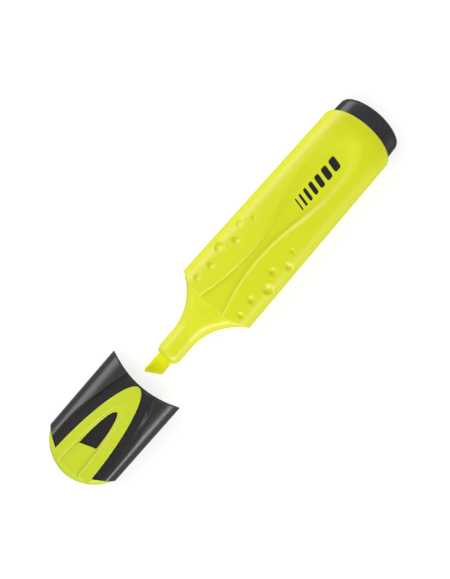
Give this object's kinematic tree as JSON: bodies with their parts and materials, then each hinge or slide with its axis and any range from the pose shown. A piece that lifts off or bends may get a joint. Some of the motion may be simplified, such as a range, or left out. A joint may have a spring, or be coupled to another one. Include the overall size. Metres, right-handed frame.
{
  "type": "highlighter pen",
  "caption": "Flat highlighter pen with a chisel nib, a waisted channel in each wide face and a pull-off cap with a sprung clip.",
  "frame": {"origin": "centre of the assembly's length and width, on the surface that it lies on, with the cap pulled off", "axes": "+X along the pen towards the end plug, +Z out of the wide face that carries the clip, +Y across the width"},
  "size_m": [0.1492, 0.0274, 0.0177],
  "materials": {
    "barrel_yellow": "satin moulded, fluorescent yellow",
    "cap_yellow": "satin moulded, fluorescent yellow",
    "pen_black": "satin moulded, black",
    "nib_felt": "ink-soaked bonded felt",
    "ink_fibre": "ink-soaked bonded fibre",
    "film": "thin wrapping film",
    "liner": "soft natural polyethylene"
  },
  "bodies": {
    "pen": {"barrel": "barrel_yellow", "end_plug": "pen_black", "reservoir_fibre": "ink_fibre", "reservoir_film": "film", "nib": "nib_felt"},
    "cap": {"cap_shell": "pen_black", "cap_end": "cap_yellow", "cap_liner": "liner"},
    "clip": {"clip": "cap_yellow"}
  },
  "joints": [
    {"name": "cap_slide", "type": "slide", "parent": "pen", "child": "cap", "axis": [1, 0, 0], "range_m": [0, 0.0329]},
    {"name": "clip_spring", "type": "hinge", "parent": "cap", "child": "clip", "pos_m": [-0.06985, 0, 0.0169], "axis": [0, -1, 0], "range_deg": [0, 6], "stiffness_Nm_per_rad": 0.6}
  ]
}
